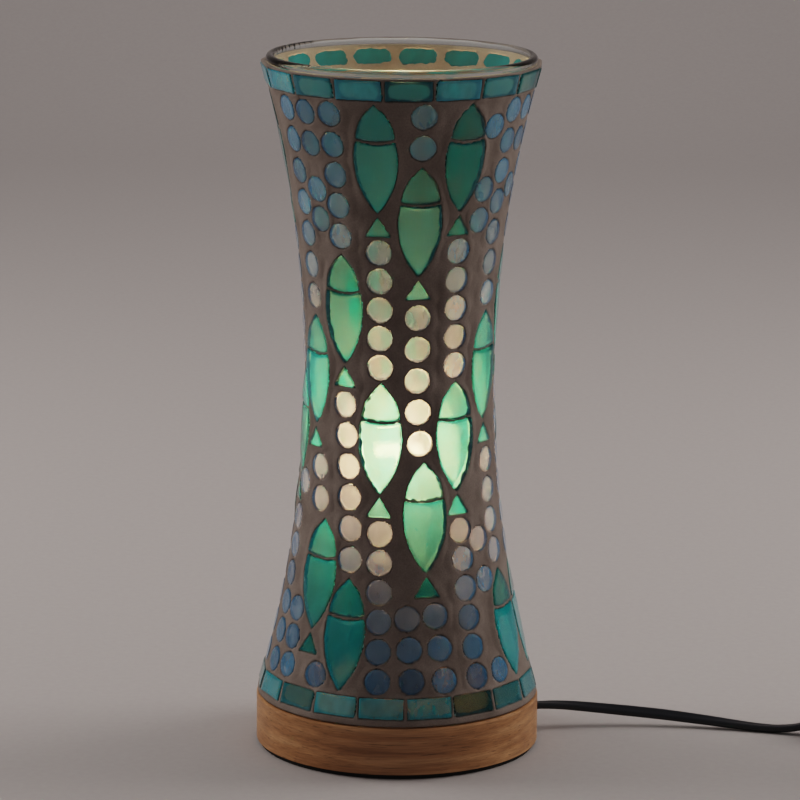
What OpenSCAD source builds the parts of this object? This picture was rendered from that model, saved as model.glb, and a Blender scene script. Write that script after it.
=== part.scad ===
// Mosaic glass table lamp: an hourglass shade of clear glass, faced with flat coloured
// tiles set in grout, standing in a groove on a round wood base with a lamp socket.
// The origin is the middle of the underside, +Z is up, and the front faces -Y.

/* [Base] */
// Diameter of the turned wood base
base_d = 120; // [119:0.5:124]
// Height of the wood's top face above the table
base_top = 22; // [21:0.5:24]
// Thickness of the soft pad under the wood
pad_t = 2; // [1:0.5:3]
// Depth of the ring groove that the shade stands in
groove_depth = 3; // [2:0.5:4]

/* [Shade] */
// Height of the rim above the table
rim_z = 295; // [290:1:300]
// Height of the narrowest place
waist_z = 160; // [156:1:162]
// Radius over the tiles at the narrowest place
waist_r = 40; // [39.5:0.5:41]
// Radius of the hourglass curve
curve_r = 484; // [480:1:520]
// Wall of the clear glass
glass_t = 3; // [2.6:0.1:3.2]
// Thickness of the flat tiles
tile_t = 2.1; // [1.8:0.1:2.2]
// How far the grout stays below the middle of a tile
grout_step = 0.35; // [0.1:0.05:0.5]

/* [Mosaic] */
// Diameter of a round tile
dot_d = 10.8; // [10:0.1:11]
// Width of a fish
fish_w = 18.2; // [16:0.1:18.4]
// Length of a fish without its tail
fish_l = 46.6; // [44:0.1:47]
// Length of the head tile at its middle
head_l = 16.2; // [14:0.1:18]
// Length of the three-cornered tail tile
tail_l = 8.6; // [7:0.1:9]
// Width of the tail tile
tail_w = 10.8; // [8:0.1:11]
// Grout line between the tiles of one fish
joint_gap = 0.9; // [0.6:0.1:1.2]
// Tiles in the band under the rim
rim_tiles = 17; // [14:1:18]
// Tiles in the band at the foot
foot_tiles = 18; // [15:1:19]

/* [Bulb] */
// Largest diameter of the bulb
bulb_d = 54; // [45:1:56]
// Height of the widest place of the bulb, where its filament is
bulb_z = 127; // [124:1:130]

/* [Cord and switch] */
// Width of the flat two-core cord
cord_w = 5.2; // [5:0.1:5.4]
// Thickness of the flat two-core cord
cord_t = 2.8; // [2.6:0.1:2.9]
// Length of the in-line switch
switch_l = 56; // [54:1:58]
// Width of the in-line switch
switch_w = 22; // [20:1:24]
// Height of the in-line switch without its rocker
switch_h = 13; // [12:0.5:14]

/* [Hidden] */

$fn = 96;
curve_fn = 256; // the big shallow arcs of the shade need fine steps

base_r = base_d / 2;
glass_gap = 0.3; // adhesive behind a tile
glass_out = tile_t + glass_gap; // depth of the glass below the middle of a tile
glass_in = glass_out + glass_t;
curve_x = waist_r + curve_r; // centre of the hourglass curve, off to the side

// Shade heights
groove_z = base_top - groove_depth;
lip_r = 1.75; // rolled edge of the glass
lip_z = rim_z - lip_r;
grout_top = rim_z - 3.4;
grout_low = base_top + 0.6;
grout_foot_r = base_r - 0.6; // the grout is trimmed flush with the base here
glass_foot_r = base_r - 2.1;
groove_in_r = glass_foot_r - 3.9;
groove_out_r = glass_foot_r + 0.4;
band_h = 8.6;
rim_band_z = grout_top - 0.7 - band_h / 2;
foot_band_z = grout_low + 2.8 + band_h / 2;
field_top = rim_band_z - band_h / 2 - 1.1;
field_low = foot_band_z + band_h / 2 + 0.9;
band_gap = 1.5; // grout between two tiles of a band

// Columns of the mosaic, as the angle at the rim, the waist, the calf and the foot, and what
// hangs in it from the top: F is a fish with its tail, f one without, and o a round tile.
calf_z = 95;
COLUMNS = [
    [-12, -11.5, -10, -8.5, "FoooooFoooooo"],
    [10, 10.5, 16, 21.5, "ooFoooooFooo"],
    [31, 35, 36.5, 37.5, "FoooooFoooooo"],
    [58, 61, 63, 65, "oooooooFoooof"],
    [84, 85, 85.5, 86, "oooooFoooooof"],
    [107, 109, 108.5, 108, "FoooooFoooooo"],
    [131, 133, 134, 135, "ooFoooooFooo"],
    [155, 157, 157, 157, "FoooooFoooooo"],
    [180, 181, 180, 179, "oooooooFooFo"],
    [205, 205, 205, 205, "oooooFoooooof"],
    [228, 229, 229, 228, "FoooooFoooooo"],
    [252, 253, 253, 252, "ooFoooooFooo"],
    [275, 277, 286, 290, "FoooooFoooooo"],
    [300, 301, 312.5, 322.5, "oooooooFooFo"],
    [327, 325, 333.5, 334.4, "oooooFoooooof"]
];
// Single round tiles that fill the wide places between the columns, as angle and height
FILLERS = [
    [-46.7, 275.5], [-46.7, 262.3], [-46.7, 243], [-46.7, 230.5], [46.3, 270], [46.4, 243.4],
    [45.6, 230.5], [71.3, 275.5], [71.3, 262.4], [71.3, 243], [-58.7, 64.2], [-58, 52.6],
    [-57.3, 40.9], [4.7, 66], [5.4, 53.3], [6.2, 40.6], [49.3, 95.5], [50.8, 78.5],
    [51.5, 40.6], [-92, 90.5], [-91, 78], [-89.5, 65.5], [-88, 53], [-86.5, 40.6],
    [121.5, 43], [122, 59], [-167.5, 270.3], [-167.5, 257], [-167.5, 42], [-119.5, 46.5],
    [-118, 83.5], [170, 57.5], [-69.5, 116.5]
];

// Radius and lean of the tile faces at a height
function face_r(z) = curve_x - sqrt(pow(curve_r, 2) - pow(z - waist_z, 2));
function face_lean(z) = asin((z - waist_z) / curve_r);

// A column's own layout: the items share the height evenly
function item_len(c) = c == "F" ? fish_l + joint_gap + tail_l : c == "f" ? fish_l : dot_d;
function len_before(items, n) = n <= 0 ? 0 : item_len(items[n - 1]) + len_before(items, n - 1);
function spare(items) =
    (field_top - field_low - len_before(items, len(items))) / (len(items) - 1);
function item_top(items, k) = field_top - len_before(items, k) - k * spare(items);
function column_angle(c, z) =
    lookup(z, [[field_low, c[3]], [calf_z, c[2]], [waist_z, c[1]], [field_top, c[0]]]);

// [angle, height of the middle, whether it has a tail] for every fish
FISH = [for (c = COLUMNS) for (k = [0:len(c[4]) - 1]) if (c[4][k] != "o")
    let (z = item_top(c[4], k) - fish_l / 2) [column_angle(c, z), z, c[4][k] == "F"]];
// [angle, height] for every round tile
DOTS = concat(FILLERS, [for (c = COLUMNS) for (k = [0:len(c[4]) - 1]) if (c[4][k] == "o")
    let (z = item_top(c[4], k) - dot_d / 2) [column_angle(c, z), z]]);

// Fish outline: two arcs that meet in a point at either end, about the middle of the fish
fish_arc_r = (pow(fish_l / 2, 2) + pow(fish_w / 2, 2)) / fish_w;
gill_r = 26; // the head's lower edge sags along this arc
gill_y = fish_l / 2 - head_l; // lowest point of the head tile
head_mid = (fish_l / 2 + gill_y) / 2;
body_mid = (gill_y - fish_l / 2) / 2;
tail_mid = -fish_l / 2 - joint_gap - tail_l / 2;

// Socket and bulb, on the lamp's axis
slip = 0.15; // radial clearance of a loose bore
wall = 1.8; // plastic walls of the socket
recess_r = 30; // wiring space under the wood
recess_top = 11.4; // the cord touches this ceiling
nipple_r = 4.9;
nipple_bore_r = 3.5;
washer_r = 13;
low_washer_t = 2;
top_washer_t = 1;
nut_h = 3.5;
nut_low = recess_top - low_washer_t - nut_h;
nipple_low = nut_low - 0.9;
cap_low = base_top + top_washer_t;
cap_h = 15;
cap_r = 17;
collar_h = 10; // the socket cap's collar round the nipple
nipple_top = cap_low + collar_h - 2;
shell_low = cap_low + cap_h;
shell_top = 76;
shell_r = 18.5;
insulator_low = shell_low + 3;
insulator_h = 9;
insulator_top = insulator_low + insulator_h;
terminal_z = insulator_low + 2.8;
terminal_r = 1.5;
terminal_out = 12; // the wire goes under the head, which starts here
thread_pitch = 3.63;
centre_r = 3; // hole for the contact, through the insulator
contact_r = 1.6; // stem of the bulb's contact
filament_x = 12.6; // half the filament's length
screw_out_r = 14.6;
bulb_cap_r = 13.2; // crest of the bulb's thread, 0.55 inside the socket's
bulb_foot_z = 52.6; // underside of the bulb's contact
bulb_cap_low = 57;
bulb_cap_top = 79;
bulb_r = bulb_d / 2;
bulb_glass_t = 0.7;
neck_r = 11.7;
neck_z = 83;
stem_low = bulb_cap_top - 3;
stem_top = bulb_z - 17;

// Cord: through the bushing in the base, then its route to the switch, the coil and the plug
cord_angle = 16; // behind +X
cord_z = 10; // height of the cord in the base
cord_start_r = 20; // the two cores part here, under the base
bushing_r = 4;
bushing_in = recess_r - 3;
clamp_r = 21; // near side of the strap that holds the cord under the base
clamp_low = cord_z - cord_t / 2 - 2;
clamp_screw_r = 1.3;
clamp_screw_y = 5.4;
switch_x = 184; // near end of the switch
switch_y = 8;
switch_cord_z = 6; // height of the cord in the switch
switch_far_x = switch_x + switch_l;
coil_x = 226;
coil_y = -45;
coil_mid_r = 31;
coil_band = 21.6; // four turns beside each other
coil_low = 0.6;
coil_h = 5.8; // two layers
coil_out_r = coil_mid_r + coil_band / 2;
coil_join_x = coil_x + coil_out_r - cord_w / 2 - 0.3;
plug_x = 226;
plug_y = -91;
plug_z = 6;
plug_heading = 212; // direction the plug points in
relief_l = 20; // the plug's cord relief
grip_h = 18; // the plug's body beyond it
function round_axis(r, a, z) = [r * cos(a), r * sin(a), z];
LEAD_ROUTE = [round_axis(cord_start_r, cord_angle, cord_z), round_axis(base_r, cord_angle, cord_z),
    [63.5, 18.1, 9.9], [72, 20, 9.3], [82, 21.4, 8.2], [93, 22.2, 7], [104, 22.4, 5.9],
    [115, 21.9, 4.9], [126, 20.6, 3.8], [137, 18.6, 2.8], [147, 16.4, 2], [157, 13.9, 1.6],
    [165, 11.8, 1.9], [172, 10, 3], [178, 8.6, 4.8], [switch_x, switch_y, switch_cord_z],
    [switch_x + 2.5, switch_y, switch_cord_z]];
RUN_ROUTE = [[switch_far_x - 2.5, switch_y, switch_cord_z], [switch_far_x, switch_y, switch_cord_z],
    [246, 7.2, 5], [251.8, 4.8, 3.2], [256.8, 0.8, 2], [260.8, -5, 1.6], [263.4, -12, 1.6],
    [264.7, -20, 1.9], [coil_join_x, -29, 2], [coil_join_x, -36, 2]];
TAIL_ROUTE = [[246.6, -78.2, 4.9], [241.3, -81.3, 5.2], [236.4, -84.3, 5.5], [231.2, -87.7, 5.8],
    [plug_x, plug_y, plug_z], [plug_x, plug_y, plug_z] + round_axis(3, plug_heading, 0)];

// In-line switch
switch_wall = 1.6;
switch_split = switch_cord_z; // the two halves meet at the middle of the cord
switch_roof = switch_h - switch_wall;
rocker_x = switch_x + switch_l / 2;
rocker_l = 20;
rocker_wide = 11;
pin_z = switch_h - 3.2;
pin_r = 1.05;
pin_l = 17.2;
post_y = 7.6; // the posts that hold the pin, either side of the rocker
switch_screw_r = 1.2;
switch_head_r = 2.3;
switch_head_z = 1.8;
switch_screw_top = 10.5;
SWITCH_SCREWS = [[rocker_x - 20, switch_y + 6.2], [rocker_x + 20, switch_y - 6.2]];

// Profile of a layer of the shade, between two depths below the tile faces
module wall_section(near, far, low, high, out_r) {
    intersection() {
        difference() {
            translate([curve_x, waist_z]) circle(curve_r + far, $fn = curve_fn);
            translate([curve_x, waist_z]) circle(curve_r + near, $fn = curve_fn);
        }
        translate([waist_r / 2, low]) square([out_r - waist_r / 2, high - low]);
    }
}

// Puts a tile on the shade: its face is tangent to the hourglass curve at its middle
module on_shade(angle, z) {
    rotate([0, 0, angle]) translate([0, -face_r(z), z]) rotate([90 + face_lean(z), 0, 0])
        translate([0, 0, -tile_t]) linear_extrude(tile_t) children();
}

module fish_outline() {
    intersection() {
        translate([fish_arc_r - fish_w / 2, 0]) circle(fish_arc_r);
        translate([fish_w / 2 - fish_arc_r, 0]) circle(fish_arc_r);
    }
}

module ring(out_r, in_r, low, high) {
    rotate_extrude() translate([in_r, low]) square([out_r - in_r, high - low]);
}

function flat_section(w, t) = [
    for (p = [[1, 0.5], [0.62, 1], [-0.62, 1], [-1, 0.5], [-1, -0.5], [-0.62, -1], [0.62, -1],
        [1, -0.5]]) [p[0] * w / 2, p[1] * t / 2]];
function round_section(r) = [for (a = [0:30:330]) [r * cos(a), r * sin(a)]];
function unit(v) = v / norm(v);
function heading(route, i) =
    unit(route[min(i + 1, len(route) - 1)] - route[max(i - 1, 0)]);

// A section swept along a route, with a ring at each point. The section's width lies level,
// or along the axis given.
module swept(route, section, across = undef) {
    sides = len(section);
    last = len(route) - 1;
    points = [for (i = [0:last]) for (p = section)
        let (ahead = heading(route, i),
            side = is_undef(across) ? unit(cross([0, 0, 1], ahead)) : across,
            up = cross(ahead, side)) route[i] + side * p[0] + up * p[1]];
    skin = [for (i = [0:last - 1]) for (k = [0:sides - 1])
        let (a = i * sides + k, b = i * sides + (k + 1) % sides)
        [a, b, b + sides, a + sides]];
    ends = [[for (k = [sides - 1:-1:0]) k], [for (k = [0:sides - 1]) last * sides + k]];
    polyhedron(points, concat(skin, ends));
}

module flat_cord(route) {
    swept(route, flat_section(cord_w, cord_t));
}

module wood_base() {
    soft = 1.2; // rounded top edge of the lip
    color("burlywood") difference() {
        rotate_extrude() difference() {
            union() {
                translate([0, pad_t]) square([base_r, base_top - soft - pad_t]);
                translate([0, pad_t]) square([base_r - soft, base_top - pad_t]);
                translate([base_r - soft, base_top - soft]) circle(soft);
            }
            translate([groove_in_r, groove_z])
                square([groove_out_r - groove_in_r, base_top - groove_z + 1]);
        }
        translate([0, 0, pad_t - 1]) cylinder(r = recess_r, h = recess_top - pad_t + 1);
        translate([0, 0, recess_top - 1]) cylinder(r = nipple_r + slip, h = base_top);
        rotate([0, 0, cord_angle]) translate([bushing_in, 0, cord_z]) rotate([0, 90, 0])
            cylinder(r = bushing_r, h = base_r);
    }
}

module base_pad() {
    color([0.1, 0.09, 0.08]) cylinder(r = base_r - 1.4, h = pad_t);
}

module shade_glass() {
    lip_x = curve_x - sqrt(pow(curve_r + glass_out + glass_t / 2, 2) - pow(lip_z - waist_z, 2));
    color([0.8, 0.92, 0.92, 0.4]) rotate_extrude() {
        wall_section(glass_out, glass_in, groove_z, lip_z, glass_foot_r);
        translate([lip_x, lip_z]) circle(lip_r);
    }
}

module shade_grout() {
    color([0.43, 0.38, 0.35]) rotate_extrude()
        wall_section(grout_step, glass_out, grout_low, grout_top, grout_foot_r);
}

module fish_heads() {
    color([0.05, 0.5, 0.42]) for (f = FISH) on_shade(f[0], f[1] + head_mid)
        translate([0, -head_mid]) intersection() {
            fish_outline();
            translate([0, gill_y + gill_r]) circle(gill_r);
        }
}

module fish_bodies() {
    color([0.25, 0.72, 0.55]) for (f = FISH) on_shade(f[0], f[1] + body_mid)
        translate([0, -body_mid]) difference() {
            fish_outline();
            translate([0, gill_y + gill_r]) circle(gill_r + joint_gap);
        }
}

module fish_tails() {
    color([0.1, 0.6, 0.48]) for (f = FISH) if (f[2]) on_shade(f[0], f[1] + tail_mid)
        polygon([[0, tail_l / 2], [-tail_w / 2, -tail_l / 2], [tail_w / 2, -tail_l / 2]]);
}

module dot_tiles() {
    color([0.5, 0.66, 0.72]) for (d = DOTS) on_shade(d[0], d[1]) circle(d = dot_d);
}

module band(count, z, first) {
    w = 2 * PI * face_r(z) / count - band_gap;
    for (k = [0:count - 1]) on_shade(first + k * 360 / count, z)
        square([w, band_h], center = true);
}

module rim_band_tiles() {
    color([0, 0.42, 0.42]) band(rim_tiles, rim_band_z, 3);
}

module foot_band_tiles() {
    color([0.1, 0.45, 0.48]) band(foot_tiles, foot_band_z, -6.5);
}

module lamp_nipple() {
    color("silver") ring(nipple_r, nipple_bore_r, nipple_low, nipple_top);
}

module nipple_nut() {
    nut_r = 8.1; // over the corners
    color("silver") translate([0, 0, nut_low]) difference() {
        cylinder(r = nut_r, h = nut_h, $fn = 6);
        translate([0, 0, -1]) cylinder(r = nipple_r, h = nut_h + 2);
    }
}

module nipple_washer() {
    color("gray") {
        ring(washer_r, nipple_r + slip, recess_top - low_washer_t, recess_top);
        ring(washer_r, nipple_r + slip, base_top, cap_low);
    }
}

module socket_cap() {
    edge_r = 3; // rounded lower edge
    collar_t = 3;
    color([0.08, 0.08, 0.08]) rotate_extrude() difference() {
        union() {
            translate([nipple_r, cap_low]) square([cap_r - nipple_r - edge_r, edge_r]);
            translate([nipple_r, cap_low + edge_r]) square([cap_r - nipple_r, cap_h - edge_r]);
            translate([cap_r - edge_r, cap_low + edge_r]) circle(edge_r);
        }
        translate([nipple_r + collar_t, cap_low + edge_r])
            square([cap_r - wall - nipple_r - collar_t, cap_h]);
        translate([0, cap_low + collar_h]) square([nipple_r + collar_t + 1, cap_h]);
    }
}

module socket_shell() {
    joint_h = 3; // the thick foot that sits on the socket cap
    mouth_h = 2;
    mouth_r = screw_out_r + 0.2;
    bead_r = 0.9; // grip beads round the outside
    bead_low = 24;
    bead_pitch = 3.2;
    color([0.07, 0.07, 0.07]) rotate_extrude() {
        translate([cap_r - wall, shell_low]) square([shell_r - cap_r + wall, joint_h]);
        translate([shell_r - wall, shell_low]) square([wall, shell_top - shell_low]);
        translate([mouth_r, shell_top - mouth_h]) square([shell_r - mouth_r, mouth_h]);
        for (z = [shell_low + bead_low:bead_pitch:shell_top - bead_r])
            translate([shell_r - bead_r / 2, z]) circle(bead_r);
    }
}

module socket_insulator() {
    notch_x = 8.5; // a notch for each terminal, open below
    notch_w = 7;
    notch_h = 5;
    color("ivory") difference() {
        ring(shell_r - wall, centre_r, insulator_low, insulator_top);
        for (side = [0, 180]) rotate([0, 0, cord_angle + side])
            translate([notch_x, -notch_w / 2, insulator_low - 1])
                cube([shell_r - wall - notch_x + 1, notch_w, notch_h + 1]);
    }
}

module screw_shell() {
    sheet_t = 0.45;
    foot_r = 11; // inner edge of the flat foot
    color("goldenrod") rotate_extrude() {
        translate([foot_r, insulator_top]) square([screw_out_r - foot_r, sheet_t]);
        translate([screw_out_r - sheet_t, insulator_top])
            square([sheet_t, shell_top - insulator_top - 2.4]);
        for (z = [insulator_top + 4:thread_pitch:shell_top - 4])
            translate([screw_out_r - 0.4, z]) circle(sheet_t);
    }
}

module centre_contact() {
    tongue_w = 5;
    tongue_t = 1;
    color("gold") {
        translate([0, 0, insulator_low + 1]) cylinder(r = centre_r, h = insulator_h);
        translate([-tongue_w / 2, -tongue_w / 2, insulator_top])
            cube([tongue_w, tongue_w, tongue_t]);
        translate([0, 0, insulator_top + tongue_t])
            cylinder(r = 2.2, h = bulb_foot_z - insulator_top - tongue_t);
    }
}

module terminal_screws() {
    shank_in = 7; // the thread starts inside the insulator
    head_r = 2.2;
    head_t = 1.6;
    slot = 0.7;
    color("gold") for (side = [0, 180]) rotate([0, 0, cord_angle + side])
        translate([shank_in, 0, terminal_z]) rotate([0, 90, 0]) {
            cylinder(r = terminal_r, h = terminal_out - shank_in);
            translate([0, 0, terminal_out - shank_in]) difference() {
                cylinder(r = head_r, h = head_t);
                translate([-slot / 2, -head_r - 1, head_t - slot])
                    cube([slot, 2 * head_r + 2, slot + 1]);
            }
        }
}

// One core of the cord, in a plane along the cord: from the cord's end down under the nut, up
// through the nipple and out to the terminal on its own side
module core_wire(side) {
    under = nipple_low - 1.1;
    bore_x = 1.6;
    bend = insulator_low - 5;
    down = [[cord_start_r, cord_z], [17, 9.3], [13.5, 6.6], [10.5, 4.5], [8, under],
        [side * bore_x + 1.8, under], [side * bore_x + 0.5, under + 0.4],
        [side * bore_x, under + 1.7]];
    up = [[bore_x, bend], [2.2, bend + 1.6], [4, bend + 2.5], [8.5, bend + 3.4],
        [10, bend + 4.2], [10.5, bend + 5.6], [10.5, terminal_z - terminal_r + 0.3]];
    route = [for (p = concat(down, [for (q = up) [side * q[0], q[1]]]))
        [p[0], side * cord_w / 4, p[1]]];
    rotate([0, 0, cord_angle]) swept(route, round_section(0.8), [0, 1, 0]);
}

module live_wire() {
    color([0.1, 0.1, 0.1]) core_wire(1);
}

module neutral_wire() {
    color([0.85, 0.85, 0.8]) core_wire(-1);
}

module bulb_cap() {
    sheet_t = 0.6;
    crest_r = 0.9;
    hole_r = 4.5;
    floor_z = bulb_cap_low + 1.5;
    color("silver") rotate_extrude() {
        translate([bulb_cap_r - 2 * sheet_t, floor_z]) square([sheet_t, bulb_cap_top - floor_z]);
        for (z = [floor_z + 1.5:thread_pitch:floor_z + 14.5])
            translate([bulb_cap_r - crest_r, z]) circle(crest_r);
        translate([hole_r, floor_z]) square([bulb_cap_r - sheet_t - hole_r, sheet_t]);
    }
}

module bulb_insulator() {
    cone_r = 8;
    hollow_r = 2.6; // the side is hollowed
    low = bulb_cap_low - 2.6;
    color([0.05, 0.05, 0.05]) rotate_extrude() difference() {
        translate([contact_r, low]) square([cone_r, bulb_cap_low + 1.5 - low]);
        translate([contact_r + cone_r + 1.2, low - 0.6]) circle(hollow_r);
    }
}

module bulb_contact() {
    disc_r = 4.2;
    disc_t = 1.8;
    color("silver") {
        translate([0, 0, bulb_foot_z + 1]) cylinder(r = contact_r, h = 4);
        translate([0, 0, bulb_foot_z]) cylinder(r = disc_r, h = disc_t);
    }
}

// Outline of the bulb's glass: a ball, a flared neck and the open end in the cap
module bulb_outline(inset) {
    flare_r = 34;
    meet = 38; // the flare meets the ball this many degrees below its middle
    translate([0, bulb_z]) circle(bulb_r - inset);
    translate([0, bulb_cap_top - 5 + inset])
        square([neck_r - inset, neck_z - bulb_cap_top + 6]);
    difference() {
        translate([0, neck_z])
            square([bulb_r * cos(meet) - inset, bulb_z - bulb_r * sin(meet) - neck_z]);
        translate([neck_r + flare_r, neck_z]) circle(flare_r + inset);
    }
}

module bulb_envelope() {
    color([1, 0.95, 0.8, 0.5]) rotate_extrude() intersection() {
        difference() {
            bulb_outline(0);
            bulb_outline(bulb_glass_t);
            translate([-1, bulb_cap_top - 8]) square([neck_r - bulb_glass_t + 0.6, 5]);
        }
        translate([0, bulb_cap_low]) square([bulb_r + 1, 2 * bulb_z]);
    }
}

module bulb_stem() {
    flare_t = 1.4;
    stem_r = 3.4;
    rod_r = 1.1;
    rod_top = bulb_z - 5;
    color([0.8, 0.85, 0.85]) rotate_extrude() {
        translate([0, stem_low]) square([neck_r - bulb_glass_t, flare_t]);
        translate([0, stem_low]) square([stem_r, stem_top - stem_low]);
        translate([0, stem_top]) square([rod_r, rod_top - stem_top]);
    }
}

module bulb_support_wires() {
    foot_x = 2;
    foot_z = stem_top - 2;
    tilt = atan2(filament_x - foot_x, bulb_z - foot_z);
    color("gray") for (side = [-1, 1]) translate([side * foot_x, 0, foot_z])
        rotate([0, side * tilt, 0]) cylinder(r = 0.35, h = (bulb_z - foot_z) / cos(tilt));
}

module bulb_filament() {
    color("orange") translate([-filament_x, 0, bulb_z]) rotate([0, 90, 0])
        cylinder(r = 0.8, h = 2 * filament_x);
}

module cord_bushing() {
    grip_r = cord_w / 2 - 0.15; // a little tight on the cord's two edges
    color([0.05, 0.05, 0.05]) rotate([0, 0, cord_angle]) translate([bushing_in, 0, cord_z])
        rotate([0, 90, 0]) difference() {
            cylinder(r = bushing_r, h = base_r - bushing_in);
            translate([0, 0, -1]) cylinder(r = grip_r, h = base_r - bushing_in + 2);
        }
}

module cord_clamp() {
    strap_l = 16;
    strap_w = 5;
    strap_t = 2;
    color([0.15, 0.15, 0.15]) rotate([0, 0, cord_angle]) difference() {
        translate([clamp_r, -strap_l / 2, clamp_low]) cube([strap_w, strap_l, strap_t]);
        for (side = [-1, 1]) translate([clamp_r + strap_w / 2, side * clamp_screw_y, 0])
            cylinder(r = clamp_screw_r, h = recess_top);
    }
}

module clamp_screws() {
    head_t = 1.2;
    color("silver") rotate([0, 0, cord_angle]) for (side = [-1, 1])
        translate([clamp_r + 2.5, side * clamp_screw_y, clamp_low - head_t]) {
            cylinder(r = 2.3, h = head_t);
            cylinder(r = clamp_screw_r, h = 12);
        }
}

module cord_lead() {
    color([0.06, 0.06, 0.07]) flat_cord(LEAD_ROUTE);
}

module cord_run() {
    color([0.06, 0.06, 0.07]) flat_cord(RUN_ROUTE);
}

module cord_tail() {
    color([0.06, 0.06, 0.07]) flat_cord(TAIL_ROUTE);
}

module cord_coil() {
    color([0.06, 0.06, 0.07]) translate([coil_x, coil_y, 0])
        ring(coil_out_r, coil_out_r - coil_band, coil_low, coil_low + coil_h);
}

module cord_tie() {
    tie_t = 0.6;
    tie_w = 7;
    color([0.2, 0.2, 0.22]) translate([coil_x, coil_y, 0]) rotate([0, 0, 150])
        translate([coil_out_r - coil_band - tie_t, -tie_w / 2, 0]) difference() {
            cube([coil_band + 2 * tie_t, tie_w, coil_low + coil_h + tie_t]);
            translate([tie_t, -1, coil_low]) cube([coil_band, tie_w + 2, coil_h]);
        }
}

// Outline of the in-line switch: straight sides and round ends
module switch_outline(inset) {
    for (x = [switch_x + switch_w / 2, switch_far_x - switch_w / 2])
        translate([x, switch_y]) circle(switch_w / 2 - inset);
    translate([switch_x + switch_w / 2, switch_y - switch_w / 2 + inset])
        square([switch_l - switch_w, switch_w - 2 * inset]);
}

// A shell of the switch: its outside, less the room inside and the two ends of the cord
module switch_half(low, high) {
    grip = 0.1; // the shells squeeze the cord by this much
    difference() {
        translate([0, 0, low]) linear_extrude(high - low) switch_outline(0);
        translate([0, 0, switch_wall]) linear_extrude(switch_roof - switch_wall)
            switch_outline(switch_wall);
        for (x = [switch_x - 1, switch_far_x - 4])
            translate([x, switch_y - cord_w / 2 + grip, switch_cord_z - cord_t / 2 + grip])
                cube([5, cord_w - 2 * grip, cord_t - 2 * grip]);
    }
}

module switch_lower_shell() {
    boss_r = 3.4;
    color([0.05, 0.05, 0.05]) difference() {
        union() {
            switch_half(0, switch_split);
            for (p = SWITCH_SCREWS) translate(p) cylinder(r = boss_r, h = switch_split);
        }
        for (p = SWITCH_SCREWS) translate([p[0], p[1], -1]) {
            cylinder(r = switch_screw_r, h = switch_split + 2);
            cylinder(r = switch_head_r, h = switch_head_z + 1);
        }
    }
}

module switch_upper_shell() {
    window_gap = 0.5;
    boss_r = 2.6;
    post_l = 5;
    post_t = 2;
    post_low = switch_split + 2;
    color([0.06, 0.06, 0.06]) difference() {
        union() {
            difference() {
                switch_half(switch_split, switch_h);
                translate([rocker_x - rocker_l / 2 - window_gap,
                    switch_y - rocker_wide / 2 - window_gap, switch_roof - 1])
                    cube([rocker_l + 2 * window_gap, rocker_wide + 2 * window_gap, 6]);
            }
            for (side = [-1, 1])
                translate([rocker_x - post_l / 2, switch_y + side * post_y - post_t / 2, post_low])
                    cube([post_l, post_t, switch_roof - post_low + 1]);
            for (p = SWITCH_SCREWS) translate([p[0], p[1], switch_split])
                cylinder(r = boss_r, h = switch_roof - switch_split + 1);
        }
        translate([rocker_x, switch_y - pin_l / 2, pin_z]) rotate([-90, 0, 0])
            cylinder(r = pin_r, h = pin_l);
        for (p = SWITCH_SCREWS) translate([p[0], p[1], switch_split - 1])
            cylinder(r = switch_screw_r, h = switch_screw_top - switch_split + 1);
    }
}

// The rocker lies over on its "on" side: two flat wings that meet over the pin
module switch_rocker() {
    wing = 9;
    end_x = rocker_l / 2 - 0.6;
    color([0.12, 0.12, 0.12]) translate([rocker_x, 0, pin_z]) rotate([0, wing, 0])
        difference() {
            translate([0, switch_y + rocker_wide / 2, 0]) rotate([90, 0, 0])
                linear_extrude(rocker_wide) polygon([[-end_x, 4.6], [0, 3], [end_x, 4.6],
                    [end_x, 1.6], [2.6, -2.2], [-2.6, -2.2], [-end_x, 1.6]]);
            translate([0, switch_y - rocker_wide / 2 - 1, 0]) rotate([-90, 0, 0])
                cylinder(r = pin_r + 0.05, h = rocker_wide + 2);
        }
}

module switch_pin() {
    color("silver") translate([rocker_x, switch_y - pin_l / 2, pin_z]) rotate([-90, 0, 0])
        cylinder(r = pin_r, h = pin_l);
}

// A rivet on a strip, under each end of the rocker
module switch_contacts() {
    strip = [6, 4, 0.8];
    color("gold") for (side = [-1, 1])
        translate([rocker_x + side * 12, switch_y, switch_wall]) {
            translate([-strip[0] / 2, -strip[1] / 2, 0]) cube(strip);
            cylinder(r = 1.6, h = 2 * strip[2]);
        }
}

module switch_screws() {
    head_t = 1.4;
    color("silver") for (p = SWITCH_SCREWS)
        translate([p[0], p[1], switch_head_z - head_t]) {
            cylinder(r = switch_screw_r, h = switch_screw_top - switch_head_z + head_t);
            cylinder(r = switch_head_r, h = head_t);
        }
}

// The plug points along +X here, with its cord end at the origin
module plug_place() {
    translate([plug_x, plug_y, plug_z]) rotate([0, 0, plug_heading]) children();
}

module plug_body() {
    side_y = 7.5;
    color([0.05, 0.05, 0.05]) plug_place() {
        rotate([0, 90, 0]) cylinder(r1 = 3.4, r2 = 5, h = relief_l);
        translate([relief_l, 0, 0]) hull() {
            rotate([0, 90, 0]) cylinder(r = 5.2, h = 2, $fn = 32);
            for (y = [-side_y, side_y]) translate([6, y, 0]) rotate([0, 90, 0])
                cylinder(r = plug_z, h = grip_h - 6, $fn = 32);
        }
    }
}

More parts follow.
